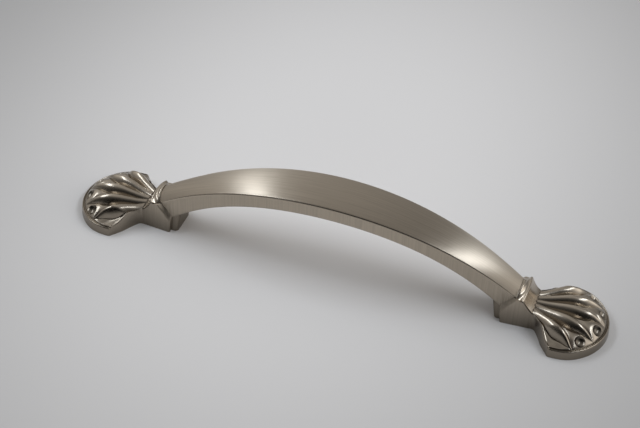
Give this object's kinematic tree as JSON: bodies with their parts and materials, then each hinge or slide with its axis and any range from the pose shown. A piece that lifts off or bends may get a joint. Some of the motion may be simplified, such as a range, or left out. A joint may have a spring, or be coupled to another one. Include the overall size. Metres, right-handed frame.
{
  "type": "cabinet handle",
  "caption": "Arched pull handle cast in one piece, with a crowned bar, a raised collar and a scallop shell foot at each end, for cabinet doors and drawers.",
  "frame": {"origin": "midway between the two feet, in the plane of their undersides, which is the front of the drawer or door", "axes": "+X along the handle from one foot to the other, +Y across it, +Z away from the drawer front, towards the hand"},
  "size_m": [0.15, 0.0272, 0.0256],
  "materials": {
    "satin_nickel": "warm satin nickel plating, brushed along the top of the bar and smoother on the shells"
  },
  "bodies": {
    "root": {"handle_casting": "satin_nickel"}
  },
  "joints": []
}
